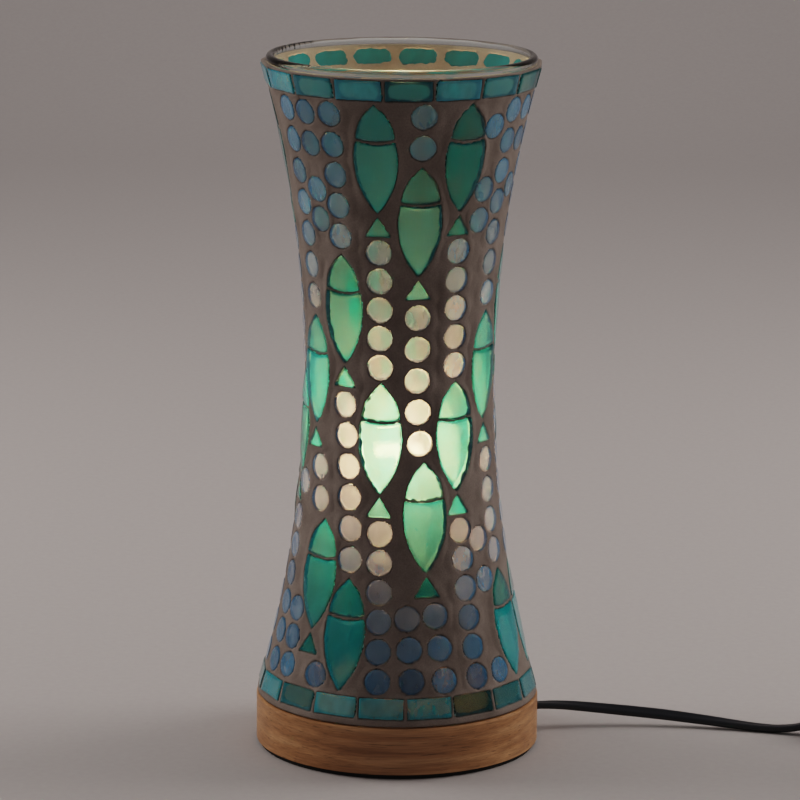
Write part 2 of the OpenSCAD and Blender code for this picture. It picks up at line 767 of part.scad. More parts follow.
module plug_blades() {
    blade_l = 17;
    blade_w = 6.35;
    blade_t = 1.5;
    spacing = 12.7;
    color("silver") plug_place() for (side = [-1, 1])
        translate([relief_l + grip_h, side * spacing / 2 - blade_t / 2, -blade_w / 2])
            difference() {
                cube([blade_l, blade_t, blade_w]);
                translate([blade_l - 4.5, -1, blade_w / 2]) rotate([-90, 0, 0])
                    cylinder(r = 1.6, h = 4);
            }
}

wood_base();
base_pad();
shade_glass();
shade_grout();
fish_heads();
fish_bodies();
fish_tails();
dot_tiles();
rim_band_tiles();
foot_band_tiles();
lamp_nipple();
nipple_nut();
nipple_washer();
socket_cap();
socket_shell();
socket_insulator();
screw_shell();
centre_contact();
terminal_screws();
live_wire();
neutral_wire();
bulb_cap();
bulb_insulator();
bulb_contact();
bulb_envelope();
bulb_stem();
bulb_support_wires();
bulb_filament();
cord_bushing();
cord_clamp();
clamp_screws();
cord_lead();
cord_run();
cord_coil();
cord_tail();
cord_tie();
switch_lower_shell();
switch_upper_shell();
switch_rocker();
switch_pin();
switch_contacts();
switch_screws();
plug_body();
plug_blades();
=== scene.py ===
"""Looks of the mosaic glass table lamp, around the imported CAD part.

Metres, +Z up, origin under the middle of the base, front towards -Y. The CAD tiles give every
tile's place and outline; this script cuts them by hand, sets them in grout and lights the bulb.
"""

import math

import bmesh
import bpy
import numpy as np
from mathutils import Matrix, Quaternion, Vector, noise


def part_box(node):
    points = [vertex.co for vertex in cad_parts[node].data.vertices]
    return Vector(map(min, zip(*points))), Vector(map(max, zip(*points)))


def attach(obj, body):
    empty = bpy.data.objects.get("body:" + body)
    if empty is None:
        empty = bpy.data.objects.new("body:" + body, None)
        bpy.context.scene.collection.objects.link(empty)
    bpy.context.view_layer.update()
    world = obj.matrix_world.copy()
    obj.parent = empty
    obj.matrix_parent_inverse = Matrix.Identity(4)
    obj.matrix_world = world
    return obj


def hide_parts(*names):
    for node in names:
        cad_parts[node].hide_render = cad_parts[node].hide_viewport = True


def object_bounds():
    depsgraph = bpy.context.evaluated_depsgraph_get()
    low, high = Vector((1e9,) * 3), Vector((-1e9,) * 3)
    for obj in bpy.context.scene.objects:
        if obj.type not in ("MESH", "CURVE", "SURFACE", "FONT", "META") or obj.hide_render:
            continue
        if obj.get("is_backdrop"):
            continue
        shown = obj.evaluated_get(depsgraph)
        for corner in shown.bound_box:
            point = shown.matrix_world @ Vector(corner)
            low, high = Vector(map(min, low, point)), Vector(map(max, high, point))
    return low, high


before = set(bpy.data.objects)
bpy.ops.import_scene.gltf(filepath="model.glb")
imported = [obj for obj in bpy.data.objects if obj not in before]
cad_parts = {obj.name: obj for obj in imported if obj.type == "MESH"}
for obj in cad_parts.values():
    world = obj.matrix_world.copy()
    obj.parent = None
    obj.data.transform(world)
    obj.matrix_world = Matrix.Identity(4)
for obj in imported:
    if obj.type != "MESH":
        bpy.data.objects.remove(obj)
CAD_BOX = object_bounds()
MM = 0.001
RNG = np.random.default_rng(7)


def link(name, data):
    o = bpy.data.objects.new(name, data)
    bpy.context.scene.collection.objects.link(o)
    return o


# ---- camera ------------------------------------------------------------------------------

def make_camera():
    """The photo's view: a long lens, a little above the lamp, and a trace of roll."""
    at, aim = Vector((0.0003, -1.6799, 0.5106)), Vector((0.0003, 0, 0.1482))
    data = bpy.data.cameras.new("camera")
    data.lens, data.sensor_width = 183.6, 36
    data.clip_end = 20
    cam = link("camera", data)
    cam.location = at
    cam.rotation_mode = "QUATERNION"
    look, roll = (aim - at).to_track_quat("-Z", "Y"), 0.0077
    cam.rotation_quaternion = look @ Quaternion((0, 0, 1), roll)
    bpy.context.scene.camera = cam


make_camera()


# ---- meshes ------------------------------------------------------------------------------

def mesh_object(name, points, faces, slots=None):
    """slots gives the material slot of each face, where there is more than one."""
    mesh = bpy.data.meshes.new(name)
    mesh.from_pydata([tuple(p) for p in points], [], faces)
    mesh.shade_smooth()
    if slots is not None:
        mesh.polygons.foreach_set("material_index", slots)
    mesh.update()
    return link(name, mesh)


def lathe(name, profile, turns=128):
    """A closed profile of (radius, height) points turned about the lamp's axis. A point on the
    axis makes a pole."""
    points, rings = [], []
    for r, z in profile:
        if r < 1e-7:
            rings.append([len(points)] * turns)
            points.append((0, 0, z))
        else:
            rings.append(list(range(len(points), len(points) + turns)))
            points += [
                (r * math.cos(a), r * math.sin(a), z)
                for a in np.linspace(0, 2 * math.pi, turns, endpoint=False)
            ]
    faces = []
    for a, b in zip(rings, rings[1:]):
        for k in range(turns):
            n = (k + 1) % turns
            quad = [a[k], a[n], b[n], b[k]]
            faces.append([v for i, v in enumerate(quad) if v not in quad[:i]])
    return mesh_object(name, points, [f for f in faces if len(f) > 2])


def tube_faces(rings, sides):
    """The faces of a tube of rings of points, with its two ends closed."""
    faces = [
        (i + k, i + (k + 1) % sides, i + sides + (k + 1) % sides, i + sides + k)
        for i in range(0, (rings - 1) * sides, sides)
        for k in range(sides)
    ]
    ends = [range(sides - 1, -1, -1), range((rings - 1) * sides, rings * sides)]
    return faces + [tuple(end) for end in ends]


def add_colour(o, name, colours):
    """A colour for each vertex, kept with the mesh."""
    attribute = o.data.color_attributes.new(name, "FLOAT_COLOR", "POINT")
    flat = np.ones((len(o.data.vertices), 4), np.float32)
    flat[:, :3] = colours
    attribute.data.foreach_set("color", flat.ravel())


# ---- node materials ----------------------------------------------------------------------

class Nodes:
    """A new node material, with a short way to add and wire nodes."""

    def __init__(self, name):
        self.material = bpy.data.materials.new(name)
        self.material.use_nodes = True
        self.tree = self.material.node_tree
        self.tree.nodes.clear()
        self.output = self.add("ShaderNodeOutputMaterial")

    def add(self, kind, inputs=None, **settings):
        n = self.tree.nodes.new(kind)
        for key, value in settings.items():
            setattr(n, key, value)
        for key, value in (inputs or {}).items():
            if isinstance(value, bpy.types.NodeSocket):
                self.tree.links.new(value, n.inputs[key])
            else:
                n.inputs[key].default_value = value
        return n

    def place(self):
        """Where the surface is on the object at rest: its own coordinates, in metres."""
        return self.add("ShaderNodeTexCoord").outputs["Object"]

    def noise(self, scale, detail=3.0, roughness=0.5, vector=None, stretch=None):
        vector = vector or self.place()
        if stretch:
            vector = self.add(
                "ShaderNodeVectorMath", {0: vector, 1: stretch}, operation="MULTIPLY"
            ).outputs[0]
        n = self.add(
            "ShaderNodeTexNoise",
            {"Vector": vector, "Scale": scale, "Detail": detail, "Roughness": roughness},
        )
        return n.outputs["Fac"]

    def ramp(self, fac, *stops):
        """stops are (position, colour or number)."""
        n = self.add("ShaderNodeValToRGB", {"Fac": fac})
        while len(n.color_ramp.elements) < len(stops):
            n.color_ramp.elements.new(0.5)
        for e, (at, value) in zip(n.color_ramp.elements, stops):
            e.position = at
            e.color = (value,) * 3 + (1,) if isinstance(value, (int, float)) else (*value, 1)
        return n.outputs["Color"]

    def mix(self, fac, a, b, blend="MIX"):
        n = self.add("ShaderNodeMix", data_type="RGBA", blend_type=blend)
        for socket, value in ((n.inputs[0], fac), (n.inputs[6], a), (n.inputs[7], b)):
            if isinstance(value, bpy.types.NodeSocket):
                self.tree.links.new(value, socket)
            else:
                socket.default_value = value if isinstance(value, float) else (*value, 1)
        return n.outputs[2]

    def maths(self, operation, *values):
        n = self.add("ShaderNodeMath", operation=operation)
        for socket, value in zip(n.inputs, values):
            if isinstance(value, bpy.types.NodeSocket):
                self.tree.links.new(value, socket)
            else:
                socket.default_value = value
        return n.outputs[0]

    def bump(self, height, distance, strength=1.0):
        return self.add(
            "ShaderNodeBump", {"Height": height, "Distance": distance, "Strength": strength}
        ).outputs["Normal"]

    def principled(self, **sockets):
        names = {k.replace("_", " "): v for k, v in sockets.items()}
        for key, value in names.items():
            if isinstance(value, tuple) and len(value) == 3:
                names[key] = (*value, 1)
        return self.add("ShaderNodeBsdfPrincipled", names).outputs[0]

    def mix_shader(self, fac, a, b):
        n = self.add("ShaderNodeMixShader")
        for socket, value in zip(n.inputs, (fac, a, b)):
            if isinstance(value, bpy.types.NodeSocket):
                self.tree.links.new(value, socket)
            else:
                socket.default_value = value
        return n.outputs[0]

    def done(self, shader):
        self.tree.links.new(shader, self.output.inputs["Surface"])
        return self.material


def plain(name, colour, roughness, metallic=0.0, grain=900.0, depth=0.00004, vary=0.25):
    """A moulded, turned or drawn surface: fine grain in its colour, gloss and height."""
    n = Nodes(name)
    fine = n.noise(grain, 4.0)
    broad = n.noise(grain / 25, 2.0)
    dark = tuple(c * (1 - vary) for c in colour)
    light = tuple(min(1, c * (1 + vary) + 0.004) for c in colour)
    tone = n.mix(broad, dark, light)
    rough = n.maths("MULTIPLY_ADD", fine, 0.16, roughness - 0.08)
    shader = n.principled(
        Base_Color=tone, Roughness=rough, Metallic=metallic, Normal=n.bump(fine, depth, 0.6)
    )
    return n.done(shader)


def give(names, material):
    for name in names:
        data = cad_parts[name].data
        data.materials.clear()
        data.materials.append(material)


# ---- tiles: read from the CAD ------------------------------------------------------------

TILE_NODES = {
    "fish_heads": "head_glass",
    "fish_bodies": "body_glass",
    "fish_tails": "tail_glass",
    "dot_tiles": "dot_glass",
    "rim_band_tiles": "band_glass",
    "foot_band_tiles": "band_glass",
}


def islands(bm):
    """The separate pieces of a mesh, each as its faces in their own order, so that every run
    adds them up alike."""
    bm.faces.index_update()
    left = set(bm.faces)
    while left:
        group, queue = [], [left.pop()]
        while queue:
            f = queue.pop()
            group.append(f)
            for e in f.edges:
                for g in e.link_faces:
                    if g in left:
                        left.remove(g)
                        queue.append(g)
        yield sorted(group, key=lambda f: f.index)


def face_outline(front):
    """The outline of a flat patch of triangles, in order."""
    inside = set(front)
    following = {}
    for f in front:
        for loop in f.loops:
            if sum(g in inside for g in loop.edge.link_faces) == 1:
                following[loop.vert] = loop.link_loop_next.vert
    start = min(following, key=lambda v: (round(v.co.z, 6), round(v.co.x, 6)))
    outline, v = [start], following[start]
    while v is not start:
        outline.append(v)
        v = following[v]
    return [v.co.copy() for v in outline]


def read_tiles(node):
    """Each flat tile of a CAD node: its middle, the axes of its face and its outline there."""
    bm = bmesh.new()
    bm.from_mesh(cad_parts[node].data)
    bmesh.ops.remove_doubles(bm, verts=bm.verts, dist=1e-6)
    bm.normal_update()
    tiles = []
    for group in islands(bm):
        middle = sum((f.calc_center_median() for f in group), Vector()) / len(group)
        away = Vector((middle.x, middle.y, 0)).normalized()
        front = [f for f in group if f.normal.dot(away) > 0.9]
        loop = face_outline(front)
        centre = sum(loop, Vector()) / len(loop)
        out = sum((f.normal * f.calc_area() for f in front), Vector()).normalized()
        up = (Vector((0, 0, 1)) - out * out.z).normalized()
        right = up.cross(out)
        flat = np.array([((p - centre).dot(right), (p - centre).dot(up)) for p in loop])
        tiles.append(dict(node=node, centre=centre, right=right, up=up, out=out, flat=flat))
    bm.free()
    tiles.sort(key=lambda t: (round(t["centre"].z, 4), round(t["centre"].x, 4), t["centre"].y))
    return tiles


TILES = {node: read_tiles(node) for node in TILE_NODES}
ALL_TILES = [t for group in TILES.values() for t in group]


def turned_curve(node, outer):
    """The circle through a turned CAD node's outer or inner wall: radius as a function of z."""
    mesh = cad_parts[node].data
    rz = []
    for f in mesh.polygons:
        c, normal = f.center, f.normal
        if normal.dot(Vector((c.x, c.y, 0)).normalized()) * (1 if outer else -1) > 0.85:
            for i in f.vertices:
                v = mesh.vertices[i].co
                rz.append((math.hypot(v.x, v.y), v.z))
    r, z = np.array(rz).T
    a = np.stack([2 * r, 2 * z, np.ones(len(r))], 1)
    (cx, cz, k), *_ = np.linalg.lstsq(a, r * r + z * z, rcond=None)
    big = math.sqrt(k + cx * cx + cz * cz)
    return lambda height: cx - np.sqrt(big * big - (height - cz) ** 2)


GLASS_OUTSIDE = turned_curve("shade_glass", True)


def resample(flat, step):
    """The outline again at an even step, keeping its corners."""
    n = len(flat)
    ahead = np.roll(flat, -1, 0) - flat
    ahead /= np.linalg.norm(ahead, axis=1)[:, None]
    behind = np.roll(ahead, 1, 0)
    turn = np.degrees(np.arccos(np.clip((ahead * behind).sum(1), -1, 1)))
    corners = [i for i in range(n) if turn[i] > 28] or [0]
    points, is_corner = [], []
    for a, b in zip(corners, corners[1:] + [corners[0] + n]):
        run = np.array([flat[i % n] for i in range(a, b + 1)])
        along = np.concatenate([[0], np.cumsum(np.linalg.norm(np.diff(run, axis=0), axis=1))])
        count = max(2, round(along[-1] / step))
        for k in range(count):
            s = along[-1] * k / count
            points.append([np.interp(s, along, run[:, 0]), np.interp(s, along, run[:, 1])])
            is_corner.append(k == 0 and len(corners) > 1)
    return np.array(points), np.array(is_corner)


def normals_of(flat):
    tangent = np.roll(flat, -1, 0) - np.roll(flat, 1, 0)
    normal = np.stack([tangent[:, 1], -tangent[:, 0]], 1)
    return normal / np.linalg.norm(normal, axis=1)[:, None]


NIP = 1.05 * MM  # length of one facet of a hand-cut edge
CHIP = 0.09 * MM
WANDER, DOT_WANDER = 0.22 * MM, 0.20 * MM  # how far a cut strays from its line
TRIM = 0.05 * MM
BLUNT = 0.985  # a corner's distance from the middle, as a share of what it was
HEAD_ROUND = 1.3


def hand_cut(tile, number):
    """The tile's outline as nipped by hand: a little faceted, with blunted corners. A fish's
    head has fuller cheeks than its CAD outline."""
    flat, corner = resample(tile["flat"], NIP)
    if tile["node"] == "fish_heads":
        t = (flat[:, 1] - flat[:, 1].min()) / np.ptp(flat[:, 1])
        flat[:, 0] *= 1 + HEAD_ROUND * t * t * (1 - t)
    normal = normals_of(flat)
    seed = Vector((number * 3.7, tile["centre"].z * 90, 1.3))
    wave = np.array([noise.noise(Vector((x, y, 0)) * 260 + seed) for x, y in flat])
    chip = np.array([noise.noise(Vector((x, y, 5)) * 900 + seed) for x, y in flat])
    amount = DOT_WANDER if tile["node"] == "dot_tiles" else WANDER
    flat = flat + normal * (wave * amount + chip * CHIP - TRIM)[:, None]
    flat[corner] *= BLUNT
    return flat


for number, tile in enumerate(ALL_TILES):
    tile["cut"] = hand_cut(tile, number)


# ---- tiles: glass pieces -----------------------------------------------------------------

# In mm: how far each ring of a tile's edge is set in from the outline, and its depth below the
# face. The first ring goes round the back, so its depth comes from the shade.
EDGE = ((0.10, 0.0), (0.0, 0.55), (0.05, 0.28), (0.16, 0.10), (0.36, 0.0))
# The rings inside those, as shares of the way out from the middle
FACE_SHARES = (0.72, 0.4)
BACK_SHARES = (0.8, 0.55, 0.3)
FACE_WAVE = 0.10 * MM
BED = 0.15 * MM  # adhesive between the shade and the back of a tile


def tile_mesh(tile, number):
    """Points and faces of one tile: straight sides, a rounded edge, a face with the slow waves
    of rolled glass, and last a back bedded on the shade. Also how many faces the back has."""
    flat, normal = tile["cut"], normals_of(tile["cut"])
    n = len(flat)
    lean = RNG.normal(0, 0.006, 2)
    seed = Vector((number * 5.1, 2.2, 0))
    rings = []
    for inset, depth in EDGE:
        ring = flat - normal * inset * MM
        rings.append([(x, y, -depth * MM) for x, y in ring])
    top = flat - normal * EDGE[-1][0] * MM
    for share in FACE_SHARES:
        rings.append([(x * share, y * share, 0) for x, y in top])
    points = []
    for k, ring in enumerate(rings):
        for x, y, z in ring:
            if k > 0:
                wave = noise.noise(Vector((x, y, 0)) * 170 + seed)
                z += wave * FACE_WAVE + x * lean[0] + y * lean[1]
            points.append(tile["centre"] + tile["right"] * x + tile["up"] * y + tile["out"] * z)
    middle = len(points)
    points.append(tile["centre"] + tile["out"] * noise.noise(seed) * FACE_WAVE)
    faces = []
    for k in range(len(rings) - 1):
        for i in range(n):
            j = (i + 1) % n
            faces.append((k * n + i, k * n + j, (k + 1) * n + j, (k + 1) * n + i))
    last = (len(rings) - 1) * n
    faces += [(last + i, last + (i + 1) % n, middle) for i in range(n)]
    first = len(points)
    for share in BACK_SHARES:
        points += [tile["centre"].lerp(p, share) for p in points[:n]]
    points.append(tile["centre"].copy())
    for i in [*range(n), *range(first, len(points))]:
        for _ in range(4):  # closer each time to lying on the curved glass
            p = points[i]
            rise = math.hypot(p.x, p.y) - GLASS_OUTSIDE(p.z) - BED
            points[i] = p - tile["out"] * rise
    starts = [0] + [first + k * n for k in range(len(BACK_SHARES))]
    back = [
        (b + i, b + (i + 1) % n, a + (i + 1) % n, a + i)
        for a, b in zip(starts, starts[1:]) for i in range(n)
    ]
    back += [(len(points) - 1, starts[-1] + (i + 1) % n, starts[-1] + i) for i in range(n)]
    return points, faces + back, len(back)


# For each kind of tile: the colour of the glass in the light of the room, from its darkest to
# its lightest piece, and the colour of the lamp's light through it close to the bulb and far
# from it. The far colour is the glass's own; the paler, warmer one close to the bulb is painted
# light.
TINTS = {
    "fish_heads": ((0.0, 0.06, 0.07), (0.0, 0.28, 0.32), (0.05, 0.76, 0.58), (0.0, 0.52, 0.60)),
    "fish_bodies": ((0.0, 0.08, 0.09), (0.0, 0.34, 0.38), (0.08, 0.86, 0.64), (0.0, 0.58, 0.64)),
    "fish_tails": ((0.0, 0.11, 0.11), (0.0, 0.26, 0.26), (0.08, 0.80, 0.60), (0.0, 0.56, 0.58)),
    "dot_tiles": ((0.025, 0.10, 0.20), (0.08, 0.25, 0.43), (1.0, 0.80, 0.84), (0.34, 0.60, 0.84)),
    "rim_band_tiles": (
        (0.0, 0.06, 0.07), (0.09, 0.46, 0.60), (0.0, 0.62, 0.64), (0.0, 0.62, 0.64),
    ),
    "foot_band_tiles": (
        (0.0, 0.04, 0.04), (0.06, 0.42, 0.49), (0.0, 0.28, 0.29), (0.0, 0.28, 0.29),
    ),
}
# NEAR and FAR: distances from the bulb over which the painted light in the tiles' colour fades
# out
NEAR, FAR = 55 * MM, 125 * MM
BULB_AT = np.mean([v.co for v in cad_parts["bulb_filament"].data.vertices], 0)
ROOM_SHARE = 0.62  # of a face, that throws back the light of the room
SEE_BULB = 0.85  # of a back, that shows what is behind it
BLAZE_SHARE = 0.8  # of that, that shows it less blurred
INSIDE_SHARE = 0.4  # of a back, that throws back the lamp's light inside the shade
GLASS_IOR = 1.5


def build_tiles(node):
    points, faces, slots, tints, painted_glows = [], [], [], [], []
    low, high, near, far = (np.array(c) for c in TINTS[node])
    for number, tile in enumerate(TILES[node]):
        p, f, behind = tile_mesh(tile, number + 31 * len(node))
        start = len(points)
        points += p
        faces += [tuple(start + v for v in face) for face in f]
        around = len(tile["cut"])
        slots += [2] * around + [0] * (len(f) - behind - around) + [1] * behind
        tints += [low + (high - low) * RNG.random()] * len(p)
        # painted_glow: painted light, the tile's colour paler and warmer the closer it is to the
        # bulb
        away = np.linalg.norm(np.array(tile["centre"]) - BULB_AT)
        painted_glow = near + (far - near) * np.clip((away - NEAR) / (FAR - NEAR), 0, 1)
        painted_glows += [painted_glow * RNG.uniform(0.72, 1.0)] * len(p)
    o = mesh_object(node + "_glass", points, faces, slots=slots)
    add_colour(o, "tint", np.clip(tints, 0, 1))
    add_colour(o, "painted_glow", np.clip(painted_glows, 0, 1))
    o.data.materials.append(tile_face(node))
    o.data.materials.append(tile_back(node))
    o.data.materials.append(tile_side(node))
    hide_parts(node)
    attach(o, "shade")


def real_glass(n, tint, roughness, shine, **more):
    """Glass that bends what is seen through it and lets the lamp's light straight through."""
    glass = n.principled(
        Base_Color=tint, Roughness=roughness, IOR=GLASS_IOR, Transmission_Weight=1.0,
        Specular_IOR_Level=shine, **more,
    )
    through = n.add("ShaderNodeBsdfTransparent", {"Color": (*tint, 1)}).outputs[0]
    shadow = n.add("ShaderNodeLightPath").outputs["Is Shadow Ray"]
    return n.mix_shader(shadow, glass, through)


def own_colour(n, attribute):
    """A colour attribute of the tile, streaked along it as rolled glass is: used for its own tint
    and for its painted glow.
    """
    colour = n.add("ShaderNodeAttribute", attribute_name=attribute).outputs["Color"]
    cloud = n.ramp(n.noise(300.0, 3.0, stretch=(1, 1, 0.45)), (0.3, 0.70), (0.7, 1.0))
    return n.mix(1.0, colour, cloud, "MULTIPLY")


def tile_face(node):
    """Polished glass: clear enough to show the lit back of the tile, and cloudy enough to
    throw back some of the light of the room in its own colour."""
    n = Nodes(node + "_glass")
    pits = n.bump(n.noise(1300.0, 2.0), 0.00002, 0.3)
    room = n.principled(
        Base_Color=own_colour(n, "tint"), Roughness=0.12, IOR=GLASS_IOR, Normal=pits,
        Specular_IOR_Level=0.2,
    )
    clear = real_glass(n, (0.93, 0.98, 0.97), 0.04, 0.25, Normal=pits)
    return n.done(n.mix_shader(ROOM_SHARE, clear, room))


def tile_side(node):
    """The nipped edge: rough and pale, partly the frosted glass's own colour and partly painted
    light: it carries the painted glow with a warm cream mixed in, and bright spots of it are
    painted glints. It is lit where the lamp's light reaches it.
    """
    n = Nodes(node + "_edge")
    painted_glow = n.add("ShaderNodeAttribute", attribute_name="painted_glow").outputs["Color"]
    # pale: the painted glow mixed with warm cream, partly the edge's own frost and partly a
    # painted glint
    pale = n.mix(0.35, painted_glow, (1.0, 0.95, 0.85))
    # painted_glint_spots: the edge dark in some places and bright cream in others, painted glints
    painted_glint_spots = n.ramp(n.noise(900.0, 3.0), (0.47, 0.03), (0.60, 1.0))
    colour = n.mix(1.0, pale, painted_glint_spots, "MULTIPLY")
    through = n.add("ShaderNodeBsdfTranslucent", {"Color": colour}).outputs[0]
    back = n.add("ShaderNodeBsdfDiffuse", {"Color": colour}).outputs[0]
    return n.done(n.mix_shader(0.3, through, back))


def tile_back(node):
    """The cloudy back of the coloured glass: it scatters the lamp's light from behind and shows
    the bulb as a soft blaze. Its colour is the painted glow, and the blaze's warm yellow is a
    painted highlight."""
    n = Nodes(node + "_back")
    passed = own_colour(n, "painted_glow")
    # painted_blaze_tint: a painted warm yellow mixed into the blaze, a painted highlight of the
    # bulb
    painted_blaze_tint = n.mix(0.65, passed, (1.0, 0.88, 0.46))
    scatter = n.add("ShaderNodeBsdfTranslucent", {"Color": passed}).outputs[0]
    soft, blaze = (
        n.add(
            "ShaderNodeBsdfRefraction", {"Color": colour, "Roughness": blur, "IOR": GLASS_IOR}
        ).outputs[0]
        for colour, blur in ((passed, 0.7), (painted_blaze_tint, 0.22))
    )
    passing = n.mix_shader(SEE_BULB, scatter, n.mix_shader(BLAZE_SHARE, soft, blaze))
    body = n.add("ShaderNodeBsdfDiffuse", {"Color": passed}).outputs[0]
    behind = n.add("ShaderNodeNewGeometry").outputs["Backfacing"]
    inside = n.maths("MULTIPLY_ADD", behind, -INSIDE_SHARE, INSIDE_SHARE)
    return n.done(n.mix_shader(inside, passing, body))


def thick_glass(name, tint):
    """The clear wall of the shade and its rolled rim."""
    n = Nodes(name)
    return n.done(real_glass(n, tint, 0.06, 0.08))


# ---- grout -------------------------------------------------------------------------------

def outline_distance(xy, outline):
    """Distance of each point from a closed outline, below zero inside it."""
    a, b = outline, np.roll(outline, -1, 0)
    ab = b - a
    ap = xy[:, None, :] - a[None]
    t = np.clip((ap * ab).sum(2) / (ab * ab).sum(1), 0, 1)
    d = np.linalg.norm(ap - t[..., None] * ab, axis=2).min(1)
    y = xy[:, 1][:, None]
    crosses = (a[:, 1] > y) != (b[:, 1] > y)
    with np.errstate(divide="ignore", invalid="ignore"):
        x_at = (y - a[:, 1]) / (b[:, 1] - a[:, 1]) * (b[:, 0] - a[:, 0]) + a[:, 0]
    inside = (crosses & (xy[:, 0][:, None] < x_at)).sum(1) % 2 == 1
    return np.where(inside, -d, d)


GROUT_TONES = ((0.150, 0.118, 0.100), (0.220, 0.178, 0.154))
ADHESIVE_TONES = ((0.20, 0.140, 0.100), (0.28, 0.200, 0.145))
# LIT_LIP_TONES: the inside of the grout near the rim, painted paler as painted light
LIT_LIP_TONES = ((0.50, 0.36, 0.25), (0.62, 0.46, 0.33))
LIT_LIP_HEIGHT = 14 * MM  # height below the rim of the inside's paler band, painted light from the room above and the bulb
GROUT_DROP = 0.22 * MM  # how far the grout stays below a tile's face
GROUT_REACH = 4 * MM  # how far from a tile the grout bends towards its face
SINK, SWELL = 0.2 * MM, 0.8 * MM  # the most that it bends in and out
GROUT_WAVE = 0.07 * MM
OFF_GLASS = 0.05 * MM
LIP_ROOM = 1.2 * MM  # the least from the grout's back to the side of its CAD box
THINNEST = 0.12 * MM
FLANGE = 0.07 * MM  # thickness of what laps behind a tile
SNAP = 0.55  # how far a grid point may move to the edge of an opening, in steps of the grid
# How the adhesive laps behind a tile: by how much and how far that wanders, both in mm, and
# whether it rounds the corners off
LAPS = {
    "fish_heads": (0.35, 0.85, 0),
    "fish_bodies": (0.40, 0.95, 0),
    "fish_tails": (0.15, 0.5, 0),
    "dot_tiles": (0.0, 0.25, 0),
    "rim_band_tiles": (0.95, 0.35, 1),
    "foot_band_tiles": (0.5, 0.4, 1),
}


def about_tiles(place):
    """For each point of a grid: how far it is outside the nearest tile's outline, how far the
    grout rises there to meet that tile's face, and that tile's LAPS."""
    shape = place.shape[:-1]
    gap, meet, laps = np.full(shape, 9.0), np.zeros(shape), np.zeros(shape + (3,))
    for tile in ALL_TILES:
        centre, right, up, out = (np.array(tile[key]) for key in ("centre", "right", "up", "out"))
        reach = np.abs(tile["cut"]).max(0) + GROUT_REACH
        away = place - centre
        level = np.hypot(away[..., 0], away[..., 1])
        near = (np.abs(away[..., 2]) < reach[1]) & (level < reach[0] + 2 * MM)
        rel = away[near]
        distance = outline_distance(np.stack([rel @ right, rel @ up], 1), tile["cut"])
        nearest = distance < gap[near]
        closer = near.copy()
        closer[near] = nearest
        gap[closer] = distance[nearest]
        meet[closer] = -(rel @ out)[nearest] - GROUT_DROP
        laps[closer] = LAPS[tile["node"]]
    return gap, meet, laps


def uneven(place, broad, fine, share, shift=(0, 0, 0)):
    """Noise at each point of a grid: broad waves and a share of fine ones."""
    waves = [
        noise.noise(Vector(p) * broad + Vector(shift)) + share * noise.noise(Vector(p) * fine)
        for p in place.reshape(-1, 3)
    ]
    return np.array(waves).reshape(place.shape[:-1])


def round_off(grid, passes=24):
    """A grid round the lamp with its sharp corners spread out."""
    grid = grid.copy()
    for _ in range(passes):
        grid = 0.5 * grid + 0.25 * (np.roll(grid, 1, 1) + np.roll(grid, -1, 1))
        grid[1:-1] = 0.5 * grid[1:-1] + 0.25 * (grid[:-2] + grid[2:])
    return grid


def fit_openings(window, zz, tt, radius):
    """Moves the grid's points that are close to the edge of an opening onto it. window is each
    point's distance from that edge, below zero inside. Also says which points are left inside."""
    step_z, step_s = zz[1, 0] - zz[0, 0], radius * (tt[0, 1] - tt[0, 0])
    slope_z = np.gradient(window, step_z, axis=0)
    slope_s = (np.roll(window, -1, 1) - np.roll(window, 1, 1)) / (2 * step_s)
    steep = slope_z**2 + slope_s**2 + 1e-6
    move_z, move_s = -window * slope_z / steep, -window * slope_s / steep
    snap = (np.abs(move_z) < SNAP * step_z) & (np.abs(move_s) < SNAP * step_s)
    snap[0], snap[-1] = False, False
    zz = zz + np.where(snap, move_z, 0)
    tt = tt + np.where(snap, move_s / radius, 0)
    return zz, tt, (window < 0) & ~snap


def squares(grid):
    """The values at the four corners of each square of a grid round the lamp."""
    following = np.roll(grid, -1, 1)
    return np.stack([grid[:-1], following[:-1], following[1:], grid[1:]], -1).reshape(-1, 4)


def shell_object(name, face, back, zz, tt, open_at, lit_above):
    """A closed shell between two grids of radii, with openings. Its slots are 0 outside and on
    every edge, 1 inside, and 2 inside above a height, where the inside is painted paler as
    painted light."""
    sheets = [
        np.stack([r * np.cos(tt), r * np.sin(tt), zz], -1).reshape(-1, 3) for r in (face, back)
    ]
    n = zz.size
    quads, holes = squares(np.arange(n).reshape(zz.shape)), squares(open_at)
    whole = quads[~holes.any(1)]
    cut = holes.sum(1) == 1
    cut = quads[cut][~holes[cut]].reshape(-1, 3)
    edges = np.concatenate(
        [np.stack([f, np.roll(f, -1, 1)], -1).reshape(-1, 2) for f in (whole, cut)]
    )
    border = edges[~np.isin(edges @ (n, 1), edges @ (1, n))]
    walls = np.stack([border[:, 1], border[:, 0], border[:, 0] + n, border[:, 1] + n], -1)
    faces, slots = [], []
    for group, slot in (
        (whole, 0), (cut, 0), (walls, 0), (whole[:, ::-1] + n, 1), (cut[:, ::-1] + n, 1),
    ):
        faces += group.tolist()
        # pale: the inside above lit_above, which gets the painted light of the rim
        pale = slot * (zz.ravel()[group[:, 0] % n] > lit_above)
        slots += (slot + pale).tolist()
    used = np.zeros(2 * n, bool)
    for group in (whole, cut):
        used[group] = used[group + n] = True
    new = np.cumsum(used) - 1
    faces = [[int(new[v]) for v in f] for f in faces]
    return mesh_object(name, np.concatenate(sheets)[used], faces, slots=slots)


